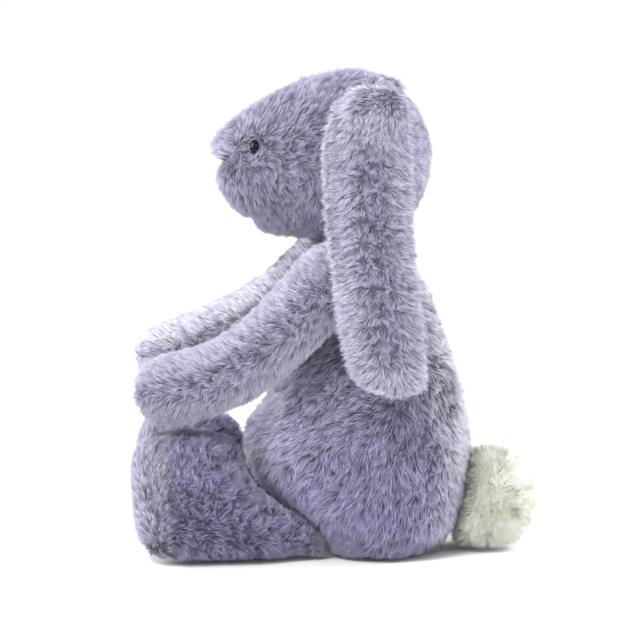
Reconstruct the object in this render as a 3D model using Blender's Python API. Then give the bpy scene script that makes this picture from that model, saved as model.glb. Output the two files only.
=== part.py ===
"""Seated plush rabbit with lop ears: sewn panels, stuffing, bead eyes and stitched seams.

Units are metres and +Z is up. The rabbit looks along -Y and its left side is +X.
The origin is on the floor, in the middle of the toy's length.
The outer faces of the panels are the tips of the pile, so a panel is as thick as its
backing cloth and pile together.
"""
import math

import bmesh
import bpy
import numpy as np
from mathutils import Vector

# Cloth and seams
WALL = 0.0055            # backing cloth and pile together
GAP = 0.0004             # clearance between sewn neighbours
RING_POINTS = 16         # points round a full section
PANEL_POINTS = 9         # points across a panel that goes half way round
CREASE_ANGLE = 50        # degrees, above which an edge is drawn sharp

# Torso: height, front, back, half width of each level
TORSO_LEVELS = (
    (0.0000, -0.0075, 0.0490, 0.0370),
    (0.0080, -0.0105, 0.0545, 0.0435),
    (0.0160, -0.0145, 0.0585, 0.0468),
    (0.0235, -0.0260, 0.0605, 0.0482),
    (0.0310, -0.0355, 0.0618, 0.0491),
    (0.0390, -0.0408, 0.0624, 0.0494),
    (0.0480, -0.0426, 0.0624, 0.0495),
    (0.0570, -0.0428, 0.0618, 0.0485),
    (0.0750, -0.0335, 0.0585, 0.0450),
    (0.1000, -0.0270, 0.0510, 0.0362),
    (0.1200, -0.0225, 0.0435, 0.0274),
    (0.1320, -0.0180, 0.0385, 0.0252),
    (0.1370, -0.0110, 0.0290, 0.0185),
)
LEAST_STEP = 0.0020              # least height between two levels of the filling
TORSO_HEIGHT = 0.1380
TORSO_CENTRE_Y = 0.0100
TORSO_REACH = (0.0495, 0.0525)   # greatest half width and half depth
BASE_THICKNESS = 0.0040
BEAN_DEPTH = 0.0160              # pellet pouch in the seat
SPINE_BORE = 0.0115              # opening at the top, for the neck roll

# Neck roll: a disc between torso and head, with a stem down into the torso
NECK_Y = 0.0080
NECK_RADIUS = 0.0160
NECK_SPAN = (0.1385, 0.1432)
NECK_STEM_RADIUS = 0.0095
NECK_STEM_FOOT = 0.1240
NECK_EDGE = (0.0015, 0.0025)     # how far the disc's lower and upper edges are rounded
HEAD_NOD_HEIGHT = 0.1720         # height of the axis that the head nods about

# Head: distance along Y, underside, crown, half width of each section
HEAD_SECTIONS = (
    (-0.0530, 0.1700, 0.1890, 0.0110),
    (-0.0490, 0.1605, 0.1970, 0.0200),
    (-0.0420, 0.1525, 0.2035, 0.0280),
    (-0.0300, 0.1468, 0.2105, 0.0345),
    (-0.0150, 0.1453, 0.2180, 0.0385),
    (0.0000, 0.1460, 0.2222, 0.0400),
    (0.0140, 0.1465, 0.2228, 0.0395),
    (0.0280, 0.1495, 0.2150, 0.0355),
    (0.0380, 0.1570, 0.2050, 0.0270),
    (0.0435, 0.1690, 0.1950, 0.0150),
)
HEAD_FRONT = (-0.0542, 0.1790)
HEAD_BACK = (0.0455, 0.1830)
HEAD_CENTRE = (0.0, -0.0052, 0.1844)
HEAD_REACH = (0.0400, 0.0508, 0.0384)
GUSSET_HALF_ANGLE = 35           # degrees either side of the crown line
GUSSET_POINTS = 5
PANEL_APART = 0.0003             # each head panel is moved out by this, for clearance

# Face
EYE_RADIUS = 0.0036
EYE_AT = (-0.0392, 0.1886)       # along Y and up
EYE_FACING = (0.65, -0.75, 0.10)
EYE_SINK = 0.0042                # depth of the bead's seat below the pile tips
EYE_DOME = (20, 45, 68)          # degrees up the bead's dome
BEAD_RIM = (0.0008, 0.92)        # height of the bead's rounded rim, and the rim's narrow end
EYE_CLEARANCE = 0.0006           # between the bead and its seat
SEAT_FLARE = 0.0015              # how much wider the seat is at its mouth
SEAT_DEPTH = 0.0150
SHANK_RADIUS = 0.0015
SHANK_LENGTH = 0.0056
SHANK_POINT = (0.0004, 0.7)      # length and narrow end of the shank's chamfer
SHANK_HOLE = (0.0200, 0.0003)    # depth of the shank's hole, and its clearance
WASHER_RADIUS = 0.0050
WASHER_THICKNESS = 0.0010
WASHER_CLEARANCE = 0.0002
WASHER_REST = 0.0008             # the washer's distance from the shank's end
WASHER_ROOM = 0.0061             # the head's filling stays this far inside the cover
NOSE_SIZE = (0.0110, 0.0012, 0.0075)
NOSE_RISE = 0.0015               # the nose's middle above the muzzle's front
NOSE_CORNERS = 0.16              # how far its three corners stand out
NOSE_EDGE = (0.92, 1.0, 0.72)    # its outline's size at the back, the middle and the front
MOUTH_HEIGHT = 0.1725
MOUTH_RUN = (-0.0480, -0.0492, -0.0504, -0.0516, -0.0525)   # along Y, towards the front
MOUTH_THREAD = 0.0009
MOUTH_LEAST_REACH = 0.0015       # the thread's points keep this far from the middle

# Ears: centre line in front view (out, up) with the middle and half width along Y
EAR_LINE = (
    (0.0370, 0.2118, 0.0140, 0.0185),
    (0.0455, 0.2060, 0.0142, 0.0205),
    (0.0520, 0.1930, 0.0144, 0.0210),
    (0.0560, 0.1760, 0.0146, 0.0208),
    (0.0612, 0.1560, 0.0156, 0.0202),
    (0.0675, 0.1390, 0.0176, 0.0196),
    (0.0703, 0.1200, 0.0198, 0.0195),
    (0.0703, 0.1020, 0.0222, 0.0186),
    (0.0703, 0.0900, 0.0245, 0.0168),
    (0.0703, 0.0820, 0.0270, 0.0125),
)
EAR_HALF_THICKNESS = 0.0061
EAR_TIP = (0.0703, 0.0775, 0.0290)
EAR_POINTS = 8                   # points across each half
EAR_SPLIT = 0.03                 # each half stands off by this share of the half thickness
EAR_TIP_APART = 0.0004
EAR_ROOT_TURNS = (90, 60, 30)    # degrees round the ear's rounded root
EAR_ROOT_NARROWING = 0.10
EAR_ROOT_LEAST = 0.0006          # thickness left at the root's end

# Arms: centre line from shoulder to paw (out, along Y, up)
ARM_LINE = (
    (0.0452, -0.0010, 0.1315),
    (0.0440, -0.0200, 0.1106),
    (0.0415, -0.0455, 0.0893),
    (0.0380, -0.0745, 0.0790),
)
ARM_LIFT = {"left": (0, 0, 0, 0), "right": (0, 0.0030, 0.0090, 0.0070)}   # each arm's own pose
ARM_HALF_WIDTH = 0.0145
ARM_HALF_HEIGHT = 0.0175
ARM_END_TURNS = (34, 62, 90)     # degrees round each rounded end
ARM_POINTS = (8, 12)             # points across a panel, and round the filling
SHOULDER_SEAM = (0.0283, 0.0075, 0.0010)   # out, radius, thickness
SHOULDER_SEAM_BACK = 0.0030      # how far behind the joint the seam's middle is
SEAM_EDGE = 0.9                  # a seam disc's outline at its faces, as a share of its middle

# Legs: distance from the hip along the leg, section centre height, half height, half width
HIP = (0.0270, -0.0205, 0.0112)
HIP_RADIUS = 0.0108
LEG_SPLAY = 8                    # degrees outwards
LEG_SECTIONS = (
    (0.0000, 0.0112, 0.0108, 0.0115),
    (0.0100, 0.0143, 0.0139, 0.0172),
    (0.0200, 0.0193, 0.0189, 0.0212),
    (0.0290, 0.0260, 0.0257, 0.0235),
    (0.0370, 0.0303, 0.0301, 0.0246),
    (0.0500, 0.0306, 0.0304, 0.0250),
    (0.0630, 0.0302, 0.0288, 0.0240),
)
SOLE_SECTIONS = (
    (0.0635, 0.0300, 0.0278, 0.0232),
    (0.0672, 0.0300, 0.0250, 0.0205),
    (0.0708, 0.0300, 0.0170, 0.0140),
)
SOLE_CROWN = 0.0726
HIP_END_TURNS = (90, 60, 30)     # degrees round the leg's rounded end
FOOT_BEANS = (0.0430, 0.0620)    # where the pellet pouch lies along the leg
BEANS_INSET = (0.0075, 0.0030)   # the pouch's distance inside the cover, and more at its ends
HIP_SEAM = (0.0060, 0.0009)      # radius, thickness
HIP_SEAM_POINTS = 12
HIP_SEAM_AT = (-0.0086, -0.0030) # along Y, and up from the hip

# Tail: distance along Y and radius of each section
TAIL_SECTIONS = (
    (0.0633, 0.0200),
    (0.0655, 0.0226),
    (0.0710, 0.0236),
    (0.0780, 0.0225),
    (0.0850, 0.0186),
    (0.0905, 0.0115),
)
TAIL_CROWN = 0.0934
TAIL_HEIGHT = 0.0238
TAIL_BORE = 0.0110

# Name, colour, roughness, metallic
MATERIALS = {
    "lavender_plush": ((0.36, 0.34, 0.53), 0.95, 0.0),
    "light_plush": ((0.45, 0.43, 0.61), 0.95, 0.0),
    "cream_plush": ((0.80, 0.81, 0.74), 0.95, 0.0),
    "polyester_fibre": ((0.86, 0.86, 0.84), 0.9, 0.0),
    "pellet_cotton": ((0.62, 0.58, 0.50), 0.85, 0.0),
    "black_bead": ((0.006, 0.006, 0.008), 0.08, 0.0),
    "white_washer": ((0.75, 0.75, 0.73), 0.4, 0.0),
    "pink_floss": ((0.50, 0.26, 0.33), 0.6, 0.0),
    "lavender_thread": ((0.22, 0.20, 0.34), 0.8, 0.0),
}
SIDES = (("left", 1), ("right", -1))


def clear_scene():
    """Removes every object, so that the file holds only the rabbit."""
    for existing in list(bpy.data.objects):
        bpy.data.objects.remove(existing, do_unlink=True)


def make_material(name):
    """A Principled material with the colour, roughness and metallic value listed above."""
    colour, roughness, metallic = MATERIALS[name]
    material = bpy.data.materials.new(name)
    material.use_nodes = True
    shader = material.node_tree.nodes["Principled BSDF"]
    shader.inputs["Base Color"].default_value = (*colour, 1.0)
    shader.inputs["Roughness"].default_value = roughness
    shader.inputs["Metallic"].default_value = metallic
    material.diffuse_color = (*colour, 1.0)
    return material


def get_material(name):
    return bpy.data.materials.get(name) or make_material(name)


def add_empty(name, location, parent=None):
    """A joint's frame: an empty at the joint's centre."""
    empty = bpy.data.objects.new(name, None)
    empty.location = location
    bpy.context.scene.collection.objects.link(empty)
    if parent:
        hang_on(empty, parent)
    return empty


def hang_on(child, parent):
    """Parents child to parent and keeps child where it is in the world."""
    bpy.context.view_layer.update()
    child.parent = parent
    child.matrix_parent_inverse = parent.matrix_world.inverted()


def add_mesh(name, points, faces, material, origin):
    """One closed body with smooth shading, its object's origin at the given point."""
    mesh = bpy.data.meshes.new(name)
    body = bmesh.new()
    corners = [body.verts.new(Vector(p) - Vector(origin)) for p in points]
    for face in faces:
        body.faces.new([corners[i] for i in face])
    bmesh.ops.remove_doubles(body, verts=body.verts, dist=1e-7)
    bmesh.ops.dissolve_degenerate(body, edges=body.edges, dist=1e-7)
    bmesh.ops.recalc_face_normals(body, faces=body.faces)
    body.to_mesh(mesh)
    body.free()
    mesh.materials.append(get_material(material))
    mesh.shade_smooth()
    mesh.set_sharp_from_angle(angle=math.radians(CREASE_ANGLE))
    thing = bpy.data.objects.new(name, mesh)
    thing.location = origin
    bpy.context.scene.collection.objects.link(thing)
    return thing


def smooth_rows(rows, steps):
    """Rows of numbers read off a smooth curve through the given rows, steps to a span."""
    rows = np.array(rows, dtype=float)
    before = 2 * rows[0] - rows[1]
    after = 2 * rows[-1] - rows[-2]
    padded = np.vstack([before, rows, after])
    found = []
    for i in range(len(rows) - 1):
        a, b, c, d = padded[i:i + 4]
        for t in np.arange(steps) / steps:
            found.append(0.5 * (2 * b + (c - a) * t + (2 * a - 5 * b + 4 * c - d) * t ** 2
                                + (3 * b - a - 3 * c + d) * t ** 3))
    found.append(rows[-1])
    return np.array(found)


def ring(centre, side, up, angles):
    """Points of an ellipse about centre, at the given angles from side towards up."""
    angles = np.radians(angles)[:, None]
    return np.array(centre) + np.cos(angles) * np.array(side) + np.sin(angles) * np.array(up)


def full_turn(count=RING_POINTS):
    return np.arange(count) * 360.0 / count


def pole(point, count):
    """A ring that has shrunk to one point."""
    return np.repeat(np.array([point], dtype=float), count, axis=0)


def drawn_in(grid, centre, reach, depth):
    """The same surface moved inwards by depth, as a scaling about centre."""
    centre = np.array(centre, dtype=float)
    scale = 1 - np.array(depth, dtype=float) / np.array(reach, dtype=float)
    return centre + (grid - centre) * scale


def strip_faces(rows, columns, start, wrap):
    """Quads of a grid whose points are numbered from start, row by row."""
    faces = []
    last = columns if wrap else columns - 1
    for r in range(rows - 1):
        for c in range(last):
            a = start + r * columns + c
            b = start + r * columns + (c + 1) % columns
            faces.append((a, b, b + columns, a + columns))
    return faces


def add_blob(name, grid, material, origin=(0, 0, 0)):
    """A solid whose sections are the grid's rows, each end closed by a flat cap."""
    rows, columns = grid.shape[:2]
    points = grid.reshape(-1, 3)
    faces = strip_faces(rows, columns, 0, True)
    for row in (0, rows - 1):
        if np.ptp(grid[row], axis=0).max() > 1e-6:
            faces.append(tuple(range(row * columns, (row + 1) * columns)))
    return add_mesh(name, points, faces, material, origin)


def add_panel(name, outer, inner, material, origin=(0, 0, 0), wrap=False):
    """A piece of cloth between two surfaces, closed all round its edge."""
    rows, columns = outer.shape[:2]
    count = rows * columns
    points = np.vstack([outer.reshape(-1, 3), inner.reshape(-1, 3)])
    faces = strip_faces(rows, columns, 0, wrap) + strip_faces(rows, columns, count, wrap)
    for c in range(columns if wrap else columns - 1):
        for row in (0, rows - 1):
            a = row * columns + c
            b = row * columns + (c + 1) % columns
            faces.append((a, b, b + count, a + count))
    if not wrap:
        for r in range(rows - 1):
            for column in (0, columns - 1):
                a = r * columns + column
                faces.append((a, a + columns, a + columns + count, a + count))
    return add_mesh(name, points, faces, material, origin)


def mirrored(grid, sign):
    """The grid on the left side for sign 1, or its mirror image on the right for -1."""
    return grid * np.array([sign, 1.0, 1.0])


def shifted(grid, offset):
    return grid + np.array(offset)


# ---------------------------------------------------------------- torso


def torso_grid(levels, angles):
    """Rings round the torso, the angle measured from the left side towards the back."""
    rings = []
    for height, front, back, half in levels:
        centre = (0, (front + back) / 2, height)
        rings.append(ring(centre, (half, 0, 0), (0, (back - front) / 2, 0), angles))
    return np.array(rings)


def torso_inside(grid, depth):
    centre = (0, TORSO_CENTRE_Y, 0)
    return drawn_in(grid, centre, (*TORSO_REACH, TORSO_HEIGHT), (depth, depth, depth))


def filling_levels(low, high):
    """The torso's levels whose drawn-in copies reach from low to high."""
    levels = np.array(TORSO_LEVELS)
    levels[:, 0] *= 1 - (WALL + 2 * GAP) / TORSO_HEIGHT
    inside = levels[(levels[:, 0] > low + LEAST_STEP) & (levels[:, 0] < high - LEAST_STEP)]
    ends = [[np.interp(z, levels[:, 0], levels[:, k]) for k in range(4)] for z in (low, high)]
    return np.vstack([ends[0], inside, ends[1]])


def torso_layer(low, high, angles):
    """A layer of what the torso holds, from low to high, clear of its cover."""
    levels = filling_levels(low, high)
    grid = torso_inside(torso_grid(levels, angles), WALL + 2 * GAP)
    grid[:, :, 2] = levels[:, 0][:, None]
    return grid


def neck_opening(angles):
    """The rim of the opening that the neck roll passes through."""
    centre = (0, NECK_Y, TORSO_HEIGHT)
    return ring(centre, (SPINE_BORE, 0, 0), (0, SPINE_BORE, 0), angles)


def make_torso():
    for name, sign in SIDES:
        angles = np.linspace(-90, 90, PANEL_POINTS)
        outer = np.vstack([torso_grid(TORSO_LEVELS, angles), neck_opening(angles)[None]])
        inner = torso_inside(outer, WALL)
        inner[-1] = neck_opening(angles) - np.array([0, 0, WALL])
        offset = (sign * GAP / 2, 0, 0)
        add_panel(f"torso_panel_{name}", shifted(mirrored(outer, sign), offset),
                  shifted(mirrored(inner, sign), offset), "lavender_plush")
    turn = full_turn()
    base = torso_layer(0.0, BASE_THICKNESS, turn)
    base[1, :, :2] = base[0, :, :2]
    add_blob("torso_base_panel", base, "lavender_plush")
    beans_top = BASE_THICKNESS + GAP + BEAN_DEPTH
    pouch = torso_layer(BASE_THICKNESS + GAP, beans_top, turn)
    add_blob("seat_pellet_pouch", pouch, "pellet_cotton")
    filling = torso_layer(beans_top + GAP, NECK_STEM_FOOT - GAP, turn)
    add_blob("torso_stuffing", filling, "polyester_fibre")


def make_neck(parent):
    low, high = NECK_SPAN
    under, over = NECK_EDGE
    sections = (
        (NECK_STEM_FOOT, NECK_STEM_RADIUS),
        (low, NECK_STEM_RADIUS),
        (low, NECK_RADIUS - under),
        (low + under, NECK_RADIUS),
        (high - under, NECK_RADIUS),
        (high, NECK_RADIUS - over),
    )
    grid = [ring((0, NECK_Y, z), (r, 0, 0), (0, r, 0), full_turn()) for z, r in sections]
    origin = tuple(parent.location)
    hang_on(add_blob("neck_roll", np.array(grid), "polyester_fibre", origin), parent)


# ---------------------------------------------------------------- head


def head_grid(angles):
    """Sections from the muzzle to the back, the angle measured from the left side upwards."""
    rings = [pole((0, *HEAD_FRONT), len(angles))]
    for y, low, high, half in HEAD_SECTIONS:
        centre = (0, y, (low + high) / 2)
        rings.append(ring(centre, (half, 0, 0), (0, 0, (high - low) / 2), angles))
    rings.append(pole((0, *HEAD_BACK), len(angles)))
    return np.array(rings)


def head_side_at(y, z):
    """How far out the head's left side is at the given place along Y and up."""
    rows = np.array(HEAD_SECTIONS)
    low, high, half = (np.interp(y, rows[:, 0], rows[:, k]) for k in (1, 2, 3))
    rise = (z - (low + high) / 2) / ((high - low) / 2)
    return half * math.sqrt(max(0.0, 1 - rise ** 2))


def eye_frame(sign):
    """Where the eye's bead is seated, and the way that it looks."""
    y, z = EYE_AT
    facing = Vector((sign * EYE_FACING[0], EYE_FACING[1], EYE_FACING[2])).normalized()
    surface = Vector((sign * head_side_at(y, z), y, z))
    return surface - facing * EYE_SINK, facing


def turned(name, profile, seat, facing, material, points=16):
    """A turned solid: profile holds (distance along facing, radius) from one end to the other."""
    side = facing.orthogonal().normalized()
    up = facing.cross(side)
    rings = [ring(seat + facing * s, side * r, up * r, full_turn(points)) for s, r in profile]
    origin = tuple(seat)
    return add_blob(name, np.array(rings), material, origin)


def cut_eye_seat(panel, sign):
    """Sinks a round seat for the bead and a hole for its shank into the panel."""
    seat, facing = eye_frame(sign)
    wide = EYE_RADIUS + EYE_CLEARANCE
    depth, clearance = SHANK_HOLE
    profile = (
        (-depth, SHANK_RADIUS + clearance),
        (-clearance, SHANK_RADIUS + clearance),
        (-clearance, wide),
        (SEAT_DEPTH, wide + SEAT_FLARE),
    )
    cutter = turned(f"{panel.name}_eye_cutter", profile, seat, facing, "black_bead")
    cutter.hide_render = True
    cutter.display_type = "WIRE"
    cut = panel.modifiers.new("eye_seat", "BOOLEAN")
    cut.operation = "DIFFERENCE"
    cut.object = cutter


def make_eye(name, sign, parent):
    seat, facing = eye_frame(sign)
    dome = [(EYE_RADIUS * math.sin(a), EYE_RADIUS * math.cos(a)) for a in np.radians(EYE_DOME)]
    rim, narrow = BEAD_RIM
    chamfer, point = SHANK_POINT
    bead = [(-SHANK_LENGTH, SHANK_RADIUS * point), (-SHANK_LENGTH + chamfer, SHANK_RADIUS),
            (0.0, SHANK_RADIUS), (0.0, EYE_RADIUS * narrow), (rim, EYE_RADIUS)]
    bead += [(rim + s, r) for s, r in dome]
    eye = turned(f"eye_{name}", bead, seat, facing, "black_bead")
    hang_on(eye, parent)
    bore = SHANK_RADIUS + WASHER_CLEARANCE
    far = -SHANK_LENGTH + WASHER_REST
    side = facing.orthogonal().normalized()
    up = facing.cross(side)
    rims = [[ring(seat + facing * s, side * r, up * r, full_turn()) for s in
             (far, far + WASHER_THICKNESS)] for r in (WASHER_RADIUS, bore)]
    washer = add_panel(f"eye_washer_{name}", np.array(rims[0]), np.array(rims[1]),
                       "white_washer", tuple(seat), wrap=True)
    hang_on(washer, parent)


def make_nose(parent):
    """A padded, stitched nose: a soft triangle with its point down."""
    width, depth, height = NOSE_SIZE
    back = HEAD_FRONT[0] - GAP
    outline = []
    for angle in np.radians(full_turn(18) + 90):
        reach = 1 + NOSE_CORNERS * math.cos(3 * (angle + math.pi / 2))
        outline.append((0.5 * width * reach * math.cos(angle),
                        0.5 * height * reach * math.sin(angle)))
    rings = []
    middle = HEAD_FRONT[1] + NOSE_RISE
    for step, scale in enumerate(NOSE_EDGE):
        y = back - depth * step / 2
        rings.append([(x * scale, y, middle + z * scale) for x, z in outline])
    nose = add_blob("nose_stitching", np.array(rings), "pink_floss", (0, back, HEAD_FRONT[1]))
    hang_on(nose, parent)


def make_mouth(parent):
    """A thread that is laid round the muzzle below the nose."""
    radius = MOUTH_THREAD / 2
    line = []
    for y in MOUTH_RUN:
        out = head_side_at(y, MOUTH_HEIGHT) + radius + 2 * GAP
        line.append((out, y - radius - 2 * GAP, MOUTH_HEIGHT))
    left = np.array([p for p in line if p[0] > MOUTH_LEAST_REACH])
    path = np.vstack([left, left[::-1] * np.array([-1, 1, 1])])
    grid = []
    for i, point in enumerate(path):
        ahead = path[min(i + 1, len(path) - 1)] - path[max(i - 1, 0)]
        out = np.cross(ahead / np.linalg.norm(ahead), (0, 0, 1))
        grid.append(ring(point, out * radius, (0, 0, radius), full_turn(6)))
    hang_on(add_blob("mouth_stitch", np.array(grid), "lavender_thread",
                     tuple(path[len(path) // 2])), parent)


def make_head(parent):
    origin = tuple(parent.location)
    half = GUSSET_HALF_ANGLE
    crown = np.linspace(90 - half, 90 + half, GUSSET_POINTS)
    cheek = np.linspace(-90, 90 - half, PANEL_POINTS)
    outer = head_grid(crown)
    inner = drawn_in(outer, HEAD_CENTRE, HEAD_REACH, WALL)
    lift = (0, 0, PANEL_APART)
    gusset = add_panel("head_gusset", shifted(outer, lift), shifted(inner, lift),
                       "lavender_plush", origin)
    hang_on(gusset, parent)
    for name, sign in SIDES:
        outer = mirrored(head_grid(cheek), sign)
        inner = drawn_in(outer, HEAD_CENTRE, HEAD_REACH, WALL)
        apart = (sign * PANEL_APART, 0, 0)
        side = add_panel(f"head_panel_{name}", shifted(outer, apart), shifted(inner, apart),
                         "lavender_plush", origin)
        cut_eye_seat(side, sign)
        hang_on(side, parent)
        make_eye(name, sign, parent)
    # The filling stays behind the washers, which clamp the eyes from inside.
    filling = drawn_in(head_grid(full_turn()), HEAD_CENTRE, HEAD_REACH, WALL + WASHER_ROOM)
    hang_on(add_blob("head_stuffing", filling, "polyester_fibre", origin), parent)
    make_nose(parent)
    make_mouth(parent)


# ---------------------------------------------------------------- ears


def ear_rows():
    """Half ellipse sections down the ear, for its outer half first and then its inner half."""
    rows = np.array(EAR_LINE)
    outer_rows, inner_rows = [], []
    for i, (x, z, y, half) in enumerate(rows):
        ahead = rows[min(i + 1, len(rows) - 1)][:2] - rows[max(i - 1, 0)][:2]
        ahead = ahead / np.linalg.norm(ahead)
        normal = np.array([-ahead[1], 0, ahead[0]]) * EAR_HALF_THICKNESS
        centre = np.array([x, y, z])
        edge = np.array([0, half, 0])
        apart, thick = normal * EAR_SPLIT, normal * (1 - EAR_SPLIT)
        outer_rows.append(ring(centre + apart, edge, thick, ear_angles()))
        inner_rows.append(ring(centre - apart, edge, -thick, ear_angles()))
    return outer_rows, inner_rows


def ear_angles():
    return np.linspace(0, 180, EAR_POINTS)


def root_rows(face):
    """The rounded root of an ear's half: quarter turns about the root's centre line."""
    x, z, y, half = EAR_LINE[0]
    ahead = np.array(EAR_LINE[1][:2]) - np.array(EAR_LINE[0][:2])
    ahead = ahead / np.linalg.norm(ahead)
    normal = face * np.array([-ahead[1], 0, ahead[0]])
    back = np.array([-ahead[0], 0, -ahead[1]])
    start = np.array([x, y, z]) + normal * EAR_HALF_THICKNESS * EAR_SPLIT
    size = EAR_HALF_THICKNESS * (1 - EAR_SPLIT)
    rows = []
    for turn in np.radians(EAR_ROOT_TURNS):
        thick = max(size * math.cos(turn), EAR_ROOT_LEAST)
        width = half * (1 - EAR_ROOT_NARROWING * math.sin(turn))
        centre = start + back * size * math.sin(turn)
        rows.append(ring(centre, (0, width, 0), normal * thick, ear_angles()))
    return rows


def make_ear(name, sign, parent):
    origin = tuple(parent.location)
    outer_rows, inner_rows = ear_rows()
    x, z, y = EAR_TIP
    for face, label, rows in ((1, "outer", outer_rows), (-1, "inner", inner_rows)):
        tip = pole((x + face * EAR_TIP_APART, y, z), EAR_POINTS)
        grid = np.array(root_rows(face) + rows + [tip])
        grid = mirrored(grid, sign)
        ear = add_half_ear(f"ear_{label}_{name}", grid, origin)
        hang_on(ear, parent)


def add_half_ear(name, grid, origin):
    """A closed half: the curved face, and the flat face that is sewn to the other half."""
    rows, columns = grid.shape[:2]
    faces = strip_faces(rows, columns, 0, False)
    for r in range(rows - 1):
        a = r * columns
        b = a + columns - 1
        faces.append((a, b, b + columns, a + columns))
    faces.append(tuple(range(columns)))
    return add_mesh(name, grid.reshape(-1, 3), faces, "light_plush", origin)


# ---------------------------------------------------------------- limbs


def limb_frame(line, i):
    """Unit vectors across the limb at point i: outwards, and up across the limb."""
    ahead = line[min(i + 1, len(line) - 1)] - line[max(i - 1, 0)]
    ahead = ahead / np.linalg.norm(ahead)
    out = np.array([1.0, 0, 0]) - ahead * ahead[0]
    out = out / np.linalg.norm(out)
    return ahead, out, np.cross(out, ahead)


def arm_line(name):
    """The arm's centre line on the left side, in the pose of the named arm."""
    lift = np.array(ARM_LIFT[name])[:, None] * np.array([0, 0, 1])
    return smooth_rows(np.array(ARM_LINE) + lift, 2)


def arm_grid(line, angles, depth=0.0):
    """Rings from the shoulder's rounded end to the paw's, drawn in by depth."""
    wide = ARM_HALF_WIDTH - depth
    tall = ARM_HALF_HEIGHT - depth
    rings = []
    for end, turns in ((0, ARM_END_TURNS[::-1]), (len(line) - 1, ARM_END_TURNS)):
        ahead, out, up = limb_frame(line, end)
        way = -1 if end == 0 else 1
        for turn in np.radians(turns):
            centre = line[end] + ahead * way * tall * math.sin(turn)
            size = max(math.cos(turn), 0.0)
            rings.append(ring(centre, out * wide * size, up * tall * size, angles))
        if end == 0:
            for i in range(len(line)):
                ahead, out, up = limb_frame(line, i)
                rings.append(ring(line[i], out * wide, up * tall, angles))
    return np.array(rings)


def make_arm(name, sign, parent):
    origin = tuple(parent.location)
    line = arm_line(name)
    across, around = ARM_POINTS
    halves = (("outer", np.linspace(-90, 90, across), 1),
              ("inner", np.linspace(90, 270, across), -1))
    for label, angles, way in halves:
        apart = (sign * way * GAP / 2, 0, 0)
        grids = [shifted(mirrored(arm_grid(line, angles, depth), sign), apart)
                 for depth in (0, WALL)]
        hang_on(add_panel(f"arm_{label}_panel_{name}", *grids, "light_plush", origin), parent)
    filling = mirrored(arm_grid(line, full_turn(around), WALL + 2 * GAP), sign)
    hang_on(add_blob(f"arm_stuffing_{name}", filling, "polyester_fibre", origin), parent)


def add_seam(name, centre, radius, thickness, facing, points=RING_POINTS):
    """A thin disc of thread with a rounded edge."""
    edge = radius * SEAM_EDGE
    profile = ((-thickness / 2, edge), (0.0, radius), (thickness / 2, edge))
    return turned(name, profile, centre, facing, "lavender_thread", points)


def make_shoulder_seam(name, sign, parent):
    """The disc of ladder stitches that holds the arm to the side of the torso."""
    out, radius, thickness = SHOULDER_SEAM
    x, y, z = parent.location
    centre = Vector((sign * out, y + SHOULDER_SEAM_BACK, z))
    seam = add_seam(f"shoulder_seam_{name}", centre, radius, thickness, Vector((sign, 0, 0)))
    hang_on(seam, parent)


def leg_axis():
    splay = math.radians(LEG_SPLAY)
    return np.array([math.sin(splay), -math.cos(splay), 0])


def leg_ring(along, height, tall, wide, angles):
    """One section of the left leg, at a distance along it from the hip."""
    ahead = leg_axis()
    out = np.array([-ahead[1], ahead[0], 0])
    centre = np.array([HIP[0], HIP[1], 0]) + ahead * along + np.array([0, 0, height])
    return ring(centre, out * wide, (0, 0, tall), angles)


def leg_grid(angles, sections, depth=0.0):
    """The hip's rounded end and the sections that follow it, drawn in by depth."""
    rings = []
    size = HIP_RADIUS - depth
    for turn in np.radians(HIP_END_TURNS):
        across = size * max(math.cos(turn), 0.0)
        rings.append(leg_ring(-size * math.sin(turn), HIP[2], across, across, angles))
    for along, height, tall, wide in sections:
        rings.append(leg_ring(along, height, tall - depth, wide - depth, angles))
    return np.array(rings)


def make_leg(name, sign, parent):
    origin = tuple(parent.location)
    halves = (("outer", np.linspace(-90, 90, PANEL_POINTS), 1),
              ("inner", np.linspace(90, 270, PANEL_POINTS), -1))
    for label, angles, way in halves:
        apart = (sign * way * GAP / 2, 0, 0)
        grids = [shifted(mirrored(leg_grid(angles, LEG_SECTIONS, depth), sign), apart)
                 for depth in (0, WALL)]
        hang_on(add_panel(f"leg_{label}_panel_{name}", *grids, "lavender_plush", origin), parent)
    turn = full_turn()
    sole = [leg_ring(*section, turn) for section in SOLE_SECTIONS]
    sole.append(leg_ring(SOLE_CROWN, SOLE_SECTIONS[-1][1], 0.0, 0.0, turn))
    hang_on(add_blob(f"foot_sole_{name}", mirrored(np.array(sole), sign), "light_plush", origin),
            parent)
    start, end = FOOT_BEANS
    rows = np.array(LEG_SECTIONS)
    stuffed = [row for row in LEG_SECTIONS if row[0] < start - GAP]
    filling = mirrored(leg_grid(turn, stuffed, WALL + 2 * GAP), sign)
    hang_on(add_blob(f"leg_stuffing_{name}", filling, "polyester_fibre", origin), parent)
    inside, squeeze = BEANS_INSET
    beans = []
    for along, more in ((start, squeeze), (start + squeeze, 0), (end - squeeze, 0), (end, squeeze)):
        height, tall, wide = (np.interp(along, rows[:, 0], rows[:, k]) for k in (1, 2, 3))
        inset = inside + more
        beans.append(leg_ring(along, height, tall - inset, wide - inset, turn))
    hang_on(add_blob(f"foot_pellet_pouch_{name}", mirrored(np.array(beans), sign),
                     "pellet_cotton", origin), parent)


def make_hip_seam(name, sign, parent):
    """The disc of ladder stitches that holds the leg to the front of the seat."""
    radius, thickness = HIP_SEAM
    along, rise = HIP_SEAM_AT
    centre = Vector((parent.location.x, along, HIP[2] + rise))
    facing = Vector((0, 1, 0))
    seam = add_seam(f"hip_seam_{name}", centre, radius, thickness, facing, HIP_SEAM_POINTS)
    hang_on(seam, parent)


# ---------------------------------------------------------------- tail


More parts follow.
